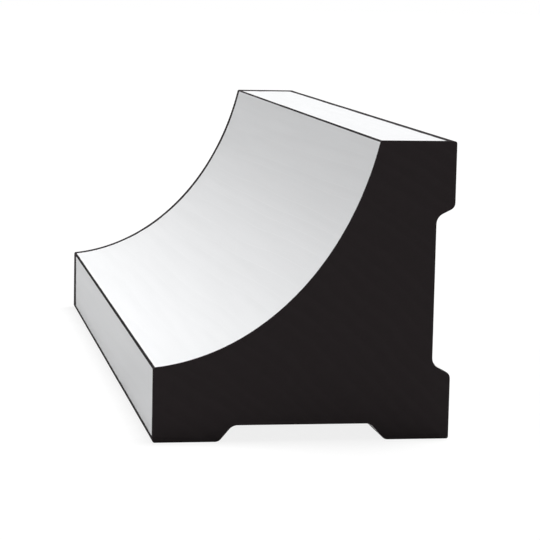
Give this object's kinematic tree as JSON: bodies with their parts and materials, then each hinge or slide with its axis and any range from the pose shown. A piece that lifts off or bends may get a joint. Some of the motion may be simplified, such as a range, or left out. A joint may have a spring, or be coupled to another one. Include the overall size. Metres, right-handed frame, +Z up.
{
  "type": "scotia moulding",
  "caption": "Short length of scotia moulding with a hollow cove between two narrow flats and two relieved backs at right angles.",
  "frame": {"origin": "on the floor, at the middle of the moulding's footprint", "axes": "+X towards the wall, +Y along the length, +Z up from the floor"},
  "size_m": [0.04, 0.12, 0.04],
  "materials": {
    "primed_timber": "satin"
  },
  "bodies": {
    "root": {"scotia_moulding": "primed_timber"}
  },
  "joints": []
}
